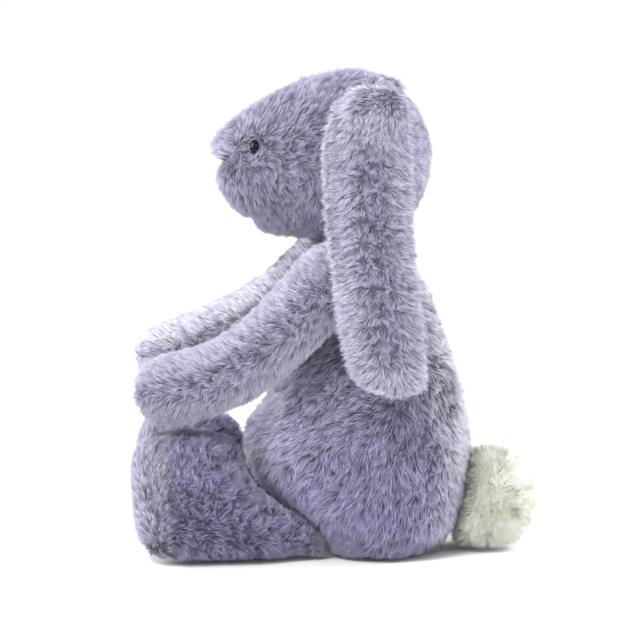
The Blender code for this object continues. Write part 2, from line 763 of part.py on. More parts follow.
def make_tail(parent):
    """A gathered pom: a bag with a small opening at its base, and its filling."""
    origin = tuple(parent.location)
    middle = (0, (TAIL_SECTIONS[0][0] + TAIL_CROWN) / 2, TAIL_HEIGHT)
    reach = (TAIL_SECTIONS[2][1], (TAIL_CROWN - TAIL_SECTIONS[0][0]) / 2, TAIL_SECTIONS[2][1])
    sections = [(TAIL_SECTIONS[0][0], TAIL_BORE)] + list(TAIL_SECTIONS) + [(TAIL_CROWN, 0.0)]
    turn = full_turn()
    outer = np.array([ring((0, y, TAIL_HEIGHT), (r, 0, 0), (0, 0, r), turn) for y, r in sections])
    inner = drawn_in(outer, middle, reach, WALL)
    inner[0] = outer[0]
    inner[0, :, 1] += WALL
    hang_on(add_panel("tail_pom", outer, inner, "cream_plush", origin, wrap=True), parent)
    filling = drawn_in(outer[1:], middle, reach, WALL + 2 * GAP)
    hang_on(add_blob("tail_stuffing", filling, "polyester_fibre", origin), parent)


def main():
    clear_scene()
    make_torso()
    neck = add_empty("neck_turn_axis", (0, NECK_Y, NECK_SPAN[1]))
    make_neck(neck)
    head = add_empty("head_nod_axis", (0, NECK_Y, HEAD_NOD_HEIGHT), neck)
    make_head(head)
    for name, sign in SIDES:
        root_x, root_z, root_y, _ = EAR_LINE[0]
        ear = add_empty(f"ear_axis_{name}", (sign * root_x, root_y, root_z), head)
        make_ear(name, sign, ear)
        shoulder = add_empty(f"shoulder_axis_{name}", (sign * ARM_LINE[0][0], *ARM_LINE[0][1:]))
        make_shoulder_seam(name, sign, shoulder)
        make_arm(name, sign, shoulder)
        hip = add_empty(f"hip_axis_{name}", (sign * HIP[0], *HIP[1:]))
        make_hip_seam(name, sign, hip)
        make_leg(name, sign, hip)
    make_tail(add_empty("tail_axis", (0, TAIL_SECTIONS[0][0], TAIL_HEIGHT)))


main()
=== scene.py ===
"""Looks for the seated plush rabbit: cloth skins, combed pile, bead eyes, seams, and a studio.

Every skin is grown from the CAD covers, so it sits where they are. The pile is real geometry:
each strand is a small closed spike that stands in the skin, and strands lean together in locks.
"""
import math
from typing import NamedTuple

import bmesh
import bpy
import numpy as np
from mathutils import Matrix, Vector
from mathutils.bvhtree import BVHTree
from mathutils.kdtree import KDTree


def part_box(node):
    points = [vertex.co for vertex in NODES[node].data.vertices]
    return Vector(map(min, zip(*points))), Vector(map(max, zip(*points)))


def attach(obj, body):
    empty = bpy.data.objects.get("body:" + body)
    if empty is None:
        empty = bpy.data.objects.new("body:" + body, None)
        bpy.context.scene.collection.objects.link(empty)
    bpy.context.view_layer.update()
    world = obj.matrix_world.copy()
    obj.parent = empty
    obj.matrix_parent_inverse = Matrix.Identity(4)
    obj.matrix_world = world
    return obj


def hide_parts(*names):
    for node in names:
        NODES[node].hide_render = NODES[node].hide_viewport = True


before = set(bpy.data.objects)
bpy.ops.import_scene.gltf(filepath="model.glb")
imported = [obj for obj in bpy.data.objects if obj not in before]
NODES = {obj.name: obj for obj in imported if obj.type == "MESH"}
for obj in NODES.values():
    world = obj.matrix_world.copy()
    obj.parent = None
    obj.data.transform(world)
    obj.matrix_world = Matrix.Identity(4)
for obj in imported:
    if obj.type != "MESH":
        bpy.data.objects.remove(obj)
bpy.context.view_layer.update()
MM = 0.001
SIDES = (("left", 1), ("right", -1))
WELD = 1e-6                            # points this close are one, in metres
WAVE_TERMS = 6                         # sines in each smooth random number
LINE_BINS = 24                         # slices that a piece's middle line is read from


# ---------------------------------------------------------------- small helpers


def unit(vectors):
    """Rows of vectors at length one."""
    vectors = np.asarray(vectors, float)
    size = np.linalg.norm(vectors, axis=-1, keepdims=True)
    return vectors / np.maximum(size, 1e-12)


def across(vectors, normals):
    """What is left of vectors once their part along the normals is taken off."""
    return vectors - normals * np.sum(vectors * normals, axis=-1, keepdims=True)


def ramp(value, low, high):
    """0 below low, 1 above high, smooth between."""
    t = np.clip((value - low) / (high - low), 0.0, 1.0)
    return t * t * (3 - 2 * t)


def bump(value, middle, reach):
    """1 at the middle, falling to nothing over the reach on both sides."""
    return np.exp(-((value - middle) / reach) ** 2)


def mix(first, second, share):
    """Rows of first turned into rows of second, by each row's share."""
    share = np.asarray(share, float)[:, None]
    return np.asarray(first, float) * (1 - share) + np.asarray(second, float) * share


def waves(points, size, seed, channels=3):
    """Smooth random numbers, about -1 to 1, that change over the given distance."""
    rng = np.random.default_rng(seed)
    total = np.zeros((len(points), channels))
    for _ in range(WAVE_TERMS):
        direction = unit(rng.normal(size=(channels, 3))) * (2 * math.pi / size)
        direction *= rng.uniform(0.6, 1.6, size=(channels, 1))
        phase = rng.uniform(0, 2 * math.pi, channels)
        total += np.sin(points @ direction.T + phase)
    return total / math.sqrt(WAVE_TERMS / 2) * 0.6


def coordinates(mesh):
    found = np.empty(len(mesh.vertices) * 3, np.float32)
    mesh.vertices.foreach_get("co", found)
    return found.reshape(-1, 3).astype(float)


def set_coordinates(mesh, points):
    mesh.vertices.foreach_set("co", np.asarray(points, np.float32).ravel())
    mesh.update()


def normals_of(mesh):
    found = np.empty(len(mesh.vertices) * 3, np.float32)
    mesh.vertex_normals.foreach_get("vector", found)
    return found.reshape(-1, 3).astype(float)


def link(name, mesh):
    thing = bpy.data.objects.new(name, mesh)
    bpy.context.scene.collection.objects.link(thing)
    return thing


def finished(thing):
    """Applies every modifier of thing to its mesh."""
    bpy.context.view_layer.update()
    graph = bpy.context.evaluated_depsgraph_get()
    mesh = bpy.data.meshes.new_from_object(thing.evaluated_get(graph))
    thing.modifiers.clear()
    old = thing.data
    thing.data = mesh
    bpy.data.meshes.remove(old)
    return thing


def middle_of(node):
    low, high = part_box(node)
    return (np.array(low) + np.array(high)) / 2


def middle_line(points, along, value):
    """The middle and half of the points' spread in one direction, at any place along another."""
    places = points @ np.array(along, float)
    spread = points @ np.array(value, float)
    edges = np.linspace(places.min(), places.max(), LINE_BINS + 1)
    which = np.clip(np.digitize(places, edges) - 1, 0, LINE_BINS - 1)
    stops, middles, halves = [], [], []
    for k in range(LINE_BINS):
        inside = spread[which == k]
        if len(inside) > 3:
            stops.append((edges[k] + edges[k + 1]) / 2)
            middles.append((inside.min() + inside.max()) / 2)
            halves.append((inside.max() - inside.min()) / 2)
    return lambda at: (np.interp(at, stops, middles), np.interp(at, stops, halves))


# ---------------------------------------------------------------- skins

PRESSURE = 4.0                         # the stuffing's push in the cloth simulation
CLOTH_FRAMES = 20
MOST_PUSH = 1.2 * MM                   # how far the simulation may move a point


def joined(name, nodes):
    """One mesh that holds copies of the given CAD nodes."""
    body = bmesh.new()
    for node in nodes:
        body.from_mesh(NODES[node].data)
    bmesh.ops.remove_doubles(body, verts=body.verts, dist=WELD)
    mesh = bpy.data.meshes.new(name)
    body.to_mesh(mesh)
    body.free()
    return link(name, mesh)


def keep_outside(mesh):
    """Drops the surface of any cavity: only the tallest connected piece stays."""
    body = bmesh.new()
    body.from_mesh(mesh)
    seen, groups = set(), []
    for start in body.verts:
        if start in seen:
            continue
        group, todo = [], [start]
        seen.add(start)
        while todo:
            vert = todo.pop()
            group.append(vert)
            for edge in vert.link_edges:
                other = edge.other_vert(vert)
                if other not in seen:
                    seen.add(other)
                    todo.append(other)
        groups.append(group)
    groups.sort(key=lambda g: max(v.co.z for v in g) - min(v.co.z for v in g))
    for group in groups[:-1]:
        bmesh.ops.delete(body, geom=group, context="VERTS")
    body.to_mesh(mesh)
    body.free()


def smoothed(skin, times):
    smooth = skin.modifiers.new("smooth", "SMOOTH")
    smooth.factor = 0.5
    smooth.iterations = times
    return finished(skin)


def remeshed(skin, voxel):
    remesh = skin.modifiers.new("remesh", "REMESH")
    remesh.mode = "VOXEL"
    remesh.voxel_size = voxel
    return finished(skin)


def inflated(skin, cap):
    """The stuffing's push: a short cloth simulation, applied, with no point moved past the cap."""
    before = coordinates(skin.data)
    cloth = skin.modifiers.new("cloth", "CLOTH")
    cloth.settings.use_pressure = True
    cloth.settings.uniform_pressure_force = PRESSURE
    cloth.settings.mass = 0.15
    cloth.settings.tension_stiffness = 25
    cloth.settings.compression_stiffness = 25
    cloth.settings.bending_stiffness = 0.3
    cloth.settings.effector_weights.gravity = 0
    cloth.collision_settings.use_collision = False
    cloth.point_cache.frame_start = 1
    cloth.point_cache.frame_end = CLOTH_FRAMES
    for step in range(1, CLOTH_FRAMES + 1):
        bpy.context.scene.frame_set(step)
    finished(skin)
    bpy.context.scene.frame_set(1)
    moved = coordinates(skin.data) - before
    size = np.linalg.norm(moved, axis=1, keepdims=True)
    moved *= np.minimum(1.0, cap / np.maximum(size, 1e-9))
    set_coordinates(skin.data, before + moved)
    subdivide = skin.modifiers.new("subdivide", "SUBSURF")
    subdivide.levels = 1
    return finished(skin)


def grow_skin(name, nodes, voxel, inset, smoothing=6, cap=MOST_PUSH):
    """The cloth under the pile: the CAD covers as one surface, drawn in, then stuffed."""
    skin = joined(name, nodes)
    remeshed(skin, voxel)
    keep_outside(skin.data)
    smoothed(skin, smoothing)
    points = coordinates(skin.data)
    set_coordinates(skin.data, points - normals_of(skin.data) * inset)
    smoothed(skin, 3)
    inflated(skin, cap)
    skin.data.shade_smooth()
    return skin


def sculpt(skin, move, smoothing=1):
    """Moves the skin's points by move(points, normals), in metres."""
    points = coordinates(skin.data)
    set_coordinates(skin.data, points + move(points, normals_of(skin.data)))
    smoothed(skin, smoothing)
    skin.data.shade_smooth()


# ---------------------------------------------------------------- pile

# A strand's four points: three round the root, and the tip. Each face's corners in the
# strand's cell of the map: the three sides meet at the tip, the root's face has a corner.
STRAND_FACES = np.array([(2, 1, 0), (0, 1, 3), (1, 2, 3), (2, 0, 3)])
STRAND_MAP = np.array([
    (0.00, 1.00), (0.22, 1.00), (0.00, 0.70),
    (0.00, 0.00), (1.00, 0.00), (0.50, 0.36),
    (1.00, 0.00), (0.50, 1.00), (0.50, 0.36),
    (0.50, 1.00), (0.00, 0.00), (0.50, 0.36),
])
UV_NAME = "OFBake"                     # each strand has its own cell in this map
CELL_MARGIN = 0.12                     # left free at each side of the cell
SHADE_NAME = "pile_shade"              # the colour attribute with each strand's colour, painted shade and light included
MOST_STRANDS = 49000                   # strands in one piece
FLOOR_GAP = 0.5 * MM                   # the lowest that a strand may reach
FLOOR_SPREAD = 1.0 * MM                # how much higher the ones that the floor bends may end
FLATTEST = 0.97                        # the most that a strand may lie down
LIE_SPREAD = (0.72, 1.15)
LENGTH_SPREAD = (0.62, 1.08)
WIDTH_SPREAD = (0.7, 1.3)
SHADE_SPREAD = 0.08
FEWEST_LOCKS = 8
LOCK_PULL = (0.4, 1.2)
LOCK_SHADE = 0.22                      # how much whole locks differ, over their gaps' share
LOCK_PAINTED_SHADE_EDGE = (0.25, 0.85)               # where the painted shade in a lock's gap begins and is darkest, over spacing
LOCK_MIDDLE_PAINTED_LIGHT = 0.30                     # how much painted light makes a lock's middle lighter, over its gaps' share
PATCHES = ((0.028, 2, 0.04), (0.008, 3, 0.05))    # uneven shade: size, seed step, strength
# Painted light: how much lighter a strand's tip is than its tone.
TIP_PAINTED_LIGHT = 1.30


class Coat(NamedTuple):
    """How a pile grows."""
    density: float                     # strands to a square millimetre
    length: float
    width: float
    locks: tuple = ((2.1, 0.42, 0.32), (1.1, 0.35, 0.42))    # spacing in mm, pull, painted shade in the gaps
    stray: float = 0.28                # how far a strand strays from the way it is combed
    soften: float = 0.38               # how far its shading turns towards the skin's
    # Painted shade: how dark a strand's root is, over its tone.
    root_painted_shade: float = 0.26


TORSO_COAT = Coat(3.3, 7.4 * MM, 0.47 * MM)
NECK_COAT = Coat(1.6, 8.0 * MM, 0.6 * MM)
HEAD_COAT = Coat(4.2, 6.0 * MM, 0.40 * MM, ((2.0, 0.40, 0.34), (1.0, 0.35, 0.46)))
EAR_COAT = Coat(4.4, 5.6 * MM, 0.38 * MM, ((1.6, 0.40, 0.30), (0.9, 0.30, 0.36)))
ARM_COAT = Coat(4.4, 6.0 * MM, 0.42 * MM, ((1.8, 0.40, 0.28), (1.0, 0.30, 0.38)))
LEG_COAT = Coat(4.2, 5.8 * MM, 0.42 * MM, ((2.0, 0.42, 0.40), (1.0, 0.30, 0.42)))
TAIL_COAT = Coat(4.6, 7.6 * MM, 0.34 * MM, ((1.6, 0.30, 0.06),), 0.8, 1.0, 1.0)
GATHER_COAT = Coat(6.0, 5.0 * MM, 0.42 * MM, ((1.8, 0.4, 0.4),))


def spread_points(mesh, density, rng, where=None):
    """Points over a mesh's surface, density to a square millimetre, with their normals."""
    mesh.calc_loop_triangles()
    index = np.empty(len(mesh.loop_triangles) * 3, np.int32)
    mesh.loop_triangles.foreach_get("vertices", index)
    index = index.reshape(-1, 3)
    points, normals = coordinates(mesh), normals_of(mesh)
    a, b, c = (points[index[:, k]] for k in range(3))
    weight = np.linalg.norm(np.cross(b - a, c - a), axis=1) / 2
    if where is not None:
        weight = weight * where((a + b + c) / 3, unit(normals[index].mean(axis=1)))
    count = min(MOST_STRANDS, int(weight.sum() / MM ** 2 * density))
    edges = np.cumsum(weight) / weight.sum()
    draws = (np.arange(count) + rng.uniform(0, 1, count)) / count
    pick = np.minimum(np.searchsorted(edges, draws), len(index) - 1)
    u, v = rng.uniform(size=(2, count, 1))
    flip = u + v > 1
    u, v = np.where(flip, 1 - u, u), np.where(flip, 1 - v, v)
    chosen = index[pick]
    shares = (1 - u - v, u, v)
    roots = sum(points[chosen[:, k]] * shares[k] for k in range(3))
    faces = unit(sum(normals[chosen[:, k]] * shares[k] for k in range(3)))
    return roots, faces, weight.sum()


def clumped(roots, tips, area, spacing, pull, gap, rng):
    """Tips drawn together into locks: each leans towards the tip of its nearest lock. Also
    gives each strand's shade: painted shade darkens the gaps between locks by the share in gap."""
    count = max(FEWEST_LOCKS, int(area / spacing ** 2))
    heads = rng.choice(len(roots), size=min(count, len(roots)), replace=False)
    tree = KDTree(len(heads))
    for i, head in enumerate(heads):
        tree.insert(roots[head], i)
    tree.balance()
    found = [tree.find(root)[1:] for root in roots]
    nearest = np.array([index for index, _ in found])
    away = np.array([distance for _, distance in found]) / spacing
    goal = tips[heads[nearest]]
    strength = pull * rng.uniform(*LOCK_PULL, size=(len(roots), 1))
    own = rng.normal(1.0, gap * LOCK_SHADE, len(heads))[nearest]
    # Painted shade in the gaps between locks and painted light in their middles, on top of each
    # lock's own random tone.
    shade = own * (1 + gap * (LOCK_MIDDLE_PAINTED_LIGHT - ramp(away, *LOCK_PAINTED_SHADE_EDGE)))
    return tips + (goal - tips) * strength, shade


def grow_pile(name, skin, body, look, groom, coat, seed, where=None):
    """Pile over a skin. groom(roots, normals) gives each strand's lean, how far it lies down
    (0 upright, 1 flat), its length over the coat's, and its shade."""
    rng = np.random.default_rng(seed)
    roots, normals, area = spread_points(skin.data, coat.density, rng, where)
    lean, lie, longer, tone = groom(roots, normals)
    lean = unit(across(lean, normals) + 1e-9)
    lean = unit(lean + across(rng.normal(size=roots.shape), normals) * coat.stray)
    lie = np.clip(lie * rng.uniform(*LIE_SPREAD, len(roots)), 0, FLATTEST)[:, None]
    size = (coat.length * longer * rng.uniform(*LENGTH_SPREAD, len(roots)))[:, None]
    way = unit(normals * np.cos(lie * math.pi / 2) + lean * np.sin(lie * math.pi / 2))
    tips = roots + way * size
    for spacing, pull, gap in coat.locks:
        tips, shade = clumped(roots, tips, area, spacing * MM, pull, gap, rng)
        tone = tone * shade[:, None]
    lowest = FLOOR_GAP + rng.uniform(0, FLOOR_SPREAD, len(tips))
    tips[:, 2] = np.maximum(tips[:, 2], lowest)
    mesh = strand_mesh(name, roots, tips, coat.width, rng)
    paint_pile(mesh, roots, tone, coat.root_painted_shade, rng, seed)
    soften_light(mesh, normals, coat.soften)
    lay_out_map(mesh, len(roots))
    pile = link(name, mesh)
    pile.data.materials.append(look)
    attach(pile, body)


def strand_mesh(name, roots, tips, width, rng):
    """A closed spike for each root and tip."""
    count = len(roots)
    along = unit(tips - roots)
    side = unit(np.cross(along, unit(rng.normal(size=roots.shape))))
    other = np.cross(along, side)
    wide = width * rng.uniform(*WIDTH_SPREAD, size=(count, 1)) / 2
    points = np.empty((count, 4, 3))
    for k in range(3):
        angle = 2 * math.pi * k / 3
        points[:, k] = roots + (side * math.cos(angle) + other * math.sin(angle)) * wide
    points[:, 3] = tips
    mesh = bpy.data.meshes.new(name)
    faces = (STRAND_FACES[None] + np.arange(count)[:, None, None] * 4).reshape(-1, 3)
    mesh.vertices.add(count * 4)
    mesh.loops.add(len(faces) * 3)
    mesh.polygons.add(len(faces))
    mesh.vertices.foreach_set("co", points.astype(np.float32).ravel())
    mesh.loops.foreach_set("vertex_index", faces.astype(np.int32).ravel())
    mesh.polygons.foreach_set("loop_start", np.arange(len(faces), dtype=np.int32) * 3)
    mesh.update()
    mesh.shade_smooth()
    return mesh


def soften_light(mesh, normals, share):
    """Turns each strand's shading towards the skin's, as light does inside deep pile."""
    own = normals_of(mesh).reshape(-1, 4, 3)
    turned = unit(own * (1 - share) + normals[:, None, :] * share).reshape(-1, 3)
    mesh.normals_split_custom_set_from_vertices(turned.astype(np.float32))


def paint_pile(mesh, roots, tone, root_painted_shade, rng, seed):
    """Each strand's own random shade, with painted shade that darkens the root and painted light
    that lightens the tip.
    """
    patch = sum(waves(roots, size, seed + step, 1) * strength
                for size, step, strength in PATCHES)
    own = rng.normal(1.0, SHADE_SPREAD, size=(len(roots), 1)) + patch
    # Painted shade at the three root points, painted light at the tip.
    shades = np.array([root_painted_shade, root_painted_shade, root_painted_shade, TIP_PAINTED_LIGHT])
    full = np.ones((len(roots), 4, 4), np.float32)
    full[:, :, :3] = np.clip(tone[:, None, :] * own[:, None, :] * shades[None, :, None], 0, 1)
    layer = mesh.color_attributes.new(SHADE_NAME, "FLOAT_COLOR", "POINT")
    layer.data.foreach_set("color", full.ravel())


def lay_out_map(mesh, count):
    """Gives each strand its own cell of the map."""
    cells = math.ceil(math.sqrt(count))
    column, row = np.arange(count) % cells, np.arange(count) // cells
    corners = CELL_MARGIN + STRAND_MAP * (1 - 2 * CELL_MARGIN)
    places = (np.stack([column, row], axis=1)[:, None, :] + corners[None]) / cells
    layer = mesh.uv_layers.new(name=UV_NAME)
    layer.data.foreach_set("uv", places.astype(np.float32).ravel())


# ---------------------------------------------------------------- materials

RAMP_START, RAMP_END = 0.3, 0.7        # the part of a noise's range that a ramp uses
BUMP_STRENGTH = 0.6
TWIST = 1500.0                         # scale of the bands round a thread
FINE_FIBRE, KNIT, HANDLING, ORANGE_PEEL = 900.0, 420.0, 260.0, 500.0    # noise scales


def material(name):
    made = bpy.data.materials.new(name)
    made.use_nodes = True
    return made, made.node_tree, made.node_tree.nodes["Principled BSDF"]


def noise_node(tree, scale, detail=2.0):
    place = tree.nodes.new("ShaderNodeTexCoord")
    noise = tree.nodes.new("ShaderNodeTexNoise")
    noise.inputs["Scale"].default_value = scale
    noise.inputs["Detail"].default_value = detail
    tree.links.new(place.outputs["Object"], noise.inputs["Vector"])
    return noise


def levels_node(tree, source, low, high):
    levels = tree.nodes.new("ShaderNodeMapRange")
    levels.inputs["From Min"].default_value = RAMP_START
    levels.inputs["From Max"].default_value = RAMP_END
    levels.inputs["To Min"].default_value = low
    levels.inputs["To Max"].default_value = high
    tree.links.new(source, levels.inputs["Value"])
    return levels.outputs["Result"]


def ramp_colours(tree, source, dark, pale):
    colours = tree.nodes.new("ShaderNodeValToRGB")
    colours.color_ramp.elements[0].position = RAMP_START
    colours.color_ramp.elements[1].position = RAMP_END
    colours.color_ramp.elements[0].color = (*dark, 1)
    colours.color_ramp.elements[1].color = (*pale, 1)
    tree.links.new(source, colours.inputs["Fac"])
    return colours.outputs["Color"]


def bumped(tree, shader, height, distance):
    lift = tree.nodes.new("ShaderNodeBump")
    lift.inputs["Strength"].default_value = BUMP_STRENGTH
    lift.inputs["Distance"].default_value = distance
    tree.links.new(height, lift.inputs["Height"])
    tree.links.new(lift.outputs["Normal"], shader.inputs["Normal"])


def pile_material(name, sheen_tint, sheen):
    """Soft fibre: each strand's colour with its painted shade and light, a little finer variation,
    matt with a faint sheen.
    """
    made, tree, shader = material(name)
    shade = tree.nodes.new("ShaderNodeAttribute")
    shade.attribute_name = SHADE_NAME
    scaled = tree.nodes.new("ShaderNodeVectorMath")
    scaled.operation = "SCALE"
    tree.links.new(shade.outputs["Color"], scaled.inputs[0])
    fine = levels_node(tree, noise_node(tree, FINE_FIBRE).outputs["Fac"], 0.90, 1.08)
    tree.links.new(fine, scaled.inputs["Scale"])
    tree.links.new(scaled.outputs["Vector"], shader.inputs["Base Color"])
    shader.inputs["Roughness"].default_value = 0.8
    shader.inputs["Specular IOR Level"].default_value = 0.2
    shader.inputs["Sheen Weight"].default_value = sheen
    shader.inputs["Sheen Roughness"].default_value = 0.5
    shader.inputs["Sheen Tint"].default_value = (*sheen_tint, 1.0)
    return made


def backing_material(name, colour):
    """The knitted backing under the pile: a fine mottle and knit bump."""
    made, tree, shader = material(name)
    fine = noise_node(tree, KNIT, 4.0).outputs["Fac"]
    dark, pale = (tuple(c * share for c in colour) for share in (0.75, 1.25))
    tree.links.new(ramp_colours(tree, fine, dark, pale), shader.inputs["Base Color"])
    bumped(tree, shader, fine, 0.6 * MM)
    shader.inputs["Roughness"].default_value = 0.95
    return made


def bead_material():
    """Polished black plastic, dulled a little in places by handling."""
    made, tree, shader = material("black_bead")
    soft = noise_node(tree, HANDLING, 3.0).outputs["Fac"]
    tree.links.new(levels_node(tree, soft, 0.10, 0.24), shader.inputs["Roughness"])
    colour = ramp_colours(tree, soft, (0.002, 0.002, 0.003), (0.006, 0.005, 0.007))
    tree.links.new(colour, shader.inputs["Base Color"])
    shader.inputs["Specular IOR Level"].default_value = 0.12
    return made


def thread_material(name, colour):
    """Twisted thread: bands that run round the thread, with a little lustre."""
    made, tree, shader = material(name)
    place = tree.nodes.new("ShaderNodeTexCoord")
    bands = tree.nodes.new("ShaderNodeTexWave")
    bands.wave_type = "BANDS"
    bands.bands_direction = "DIAGONAL"
    bands.inputs["Scale"].default_value = TWIST
    bands.inputs["Distortion"].default_value = 0.6
    tree.links.new(place.outputs["Object"], bands.inputs["Vector"])
    dark, pale = (tuple(c * share for c in colour) for share in (0.7, 1.2))
    tree.links.new(ramp_colours(tree, bands.outputs["Fac"], dark, pale),
                   shader.inputs["Base Color"])
    bumped(tree, shader, bands.outputs["Fac"], 0.1 * MM)
    shader.inputs["Roughness"].default_value = 0.7
    return made


def washer_material():
    """Moulded nylon with a slight orange peel."""
    made, tree, shader = material("white_washer")
    soft = noise_node(tree, ORANGE_PEEL, 3.0).outputs["Fac"]
    tree.links.new(ramp_colours(tree, soft, (0.70, 0.70, 0.68), (0.78, 0.78, 0.76)),
                   shader.inputs["Base Color"])
    bumped(tree, shader, soft, 0.05 * MM)
    shader.inputs["Roughness"].default_value = 0.45
    return made


# LAVENDER is the pile's own colour. The next two are lit and shaded copies of it: painted light
# and painted shade.
LAVENDER = np.array([0.405, 0.390, 0.540])
LAVENDER_IN_PAINTED_LIGHT = np.array([0.485, 0.470, 0.615])
LAVENDER_IN_PAINTED_SHADE = np.array([0.305, 0.285, 0.460])
CREAM = np.array([0.95, 0.95, 0.76])

PILE = pile_material("lavender_pile", sheen_tint=(0.93, 0.92, 1.0), sheen=0.5)
CREAM_PILE = pile_material("cream_pile", sheen_tint=(1.0, 1.0, 0.93), sheen=0.6)
# Painted shade: the lavender backing is far darker than the pile, so that it shows as shade
# between the strands.
BACKING_IN_PAINTED_SHADE = backing_material("lavender_backing_painted_shade", (0.17, 0.16, 0.26))
CREAM_BACKING = backing_material("cream_backing", (0.78, 0.78, 0.68))
BEAD = bead_material()
LAVENDER_THREAD = thread_material("lavender_thread", (0.22, 0.20, 0.34))
PINK_FLOSS = thread_material("pink_floss", (0.50, 0.27, 0.34))
WASHER = washer_material()


# ---------------------------------------------------------------- body parts


def dress(skin, backing, nodes, body):
    """The skin's cloth, what it stands for, and the body that it moves with."""
    skin.data.materials.clear()
    skin.data.materials.append(backing)
    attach(skin, body)
    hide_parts(*nodes)


def rows_of(vector, count):
    return np.tile(np.array(vector, float), (count, 1))


def one(count, value):
    return np.full(count, float(value))


def in_half(sign):
    """Only the left half for 1, or the right half for -1."""
    return lambda points, normals: (points[:, 0] * sign > 0).astype(float)


def make_torso():
    nodes = ["torso_panel_left", "torso_panel_right", "torso_base_panel", "torso_stuffing",
             "seat_pellet_pouch"]
    skin = grow_skin("torso_skin", nodes, voxel=4.0 * MM, inset=3.4 * MM)
    dress(skin, BACKING_IN_PAINTED_SHADE, nodes, "torso")
    shoulder = middle_of("shoulder_seam_left")
    armpit = shoulder - [0, 12 * MM, 36 * MM]

    def sagging(points, normals):
        """Flanks spread over the hips, a drawn-in waist, a round back and full shoulders."""
        x, y, z = points.T
        flank = ramp(np.abs(x), 22 * MM, 38 * MM) * (1 - ramp(z, 16 * MM, 40 * MM))
        flank = flank * ramp(-y, -20 * MM, 8 * MM)
        waist = bump(z, 72 * MM, 11 * MM) * ramp(-y, 15 * MM, 32 * MM)
        back = ramp(y, 25 * MM, 50 * MM) * ramp(z, 8 * MM, 30 * MM)
        from_shoulder = np.hypot(y - shoulder[1], z - shoulder[2] + 3 * MM)
        full = bump(from_shoulder, 0, 13 * MM) * ramp(np.abs(x), 4 * MM, 14 * MM)
        moved = np.zeros_like(points)
        moved[:, 0] = np.sign(x) * full * 3.6 * MM
        moved[:, 1] = -flank * 6.5 * MM + waist * 3.4 * MM + back * 1.6 * MM
        return moved

    sculpt(skin, sagging)

    def groom(roots, normals):
        """Down and a little forward. Painted light on front and back; painted shade low down and
        under the arm.
        """
        _, y, z = roots.T
        count = len(roots)
        lean = rows_of((0, -0.55, -0.85), count)
        lean[:, 0] = normals[:, 0] * 0.2
        lean += waves(roots, 0.030, 11) * 0.45 + waves(roots, 0.008, 12) * 0.45
        lie = 0.62 + 0.10 * waves(roots, 0.007, 13, 1)[:, 0]
        # Painted shade: darker and more violet towards the bottom.
        tone = mix(rows_of(LAVENDER * 0.96, count), rows_of(LAVENDER_IN_PAINTED_SHADE * 1.22, count),
                   1 - ramp(z, 0.02, 0.10))
        # Painted light on the front and back, more on the back.
        painted_rim_light = ramp(np.abs(normals[:, 1]), 0.35, 0.90) * (normals[:, 2] > -0.5)
        painted_rim_light = painted_rim_light * (0.55 + 0.35 * (y > shoulder[1]))
        # Painted shade under the arm.
        painted_armpit_shade = bump(y, armpit[1], 20 * MM) * bump(z, armpit[2], 17 * MM)
        painted_armpit_shade *= ramp(np.abs(normals[:, 0]), 0.3, 0.7)
        tone = tone * (0.98 + painted_rim_light - 0.40 * painted_armpit_shade)[:, None]
        return lean, lie, one(count, 1), tone

    for k, (side, sign) in enumerate(SIDES):
        grow_pile(f"torso_pile_{side}", skin, "torso", PILE, groom,
                  TORSO_COAT, 100 + k, where=in_half(sign))


def make_neck():
    # This skin stands out from its roll, so the inset is negative.
    skin = grow_skin("neck_skin", ["neck_roll"], voxel=2.5 * MM, inset=-1.0 * MM, cap=0.6 * MM)
    dress(skin, BACKING_IN_PAINTED_SHADE, ["neck_roll"], "neck")

    def groom(roots, normals):
        count = len(roots)
        lean, tone = rows_of((0, 0, -1), count), rows_of(LAVENDER, count)
        return lean, one(count, 0.35), one(count, 1), tone

    grow_pile("neck_pile", skin, "neck", PILE, groom, NECK_COAT, 150)


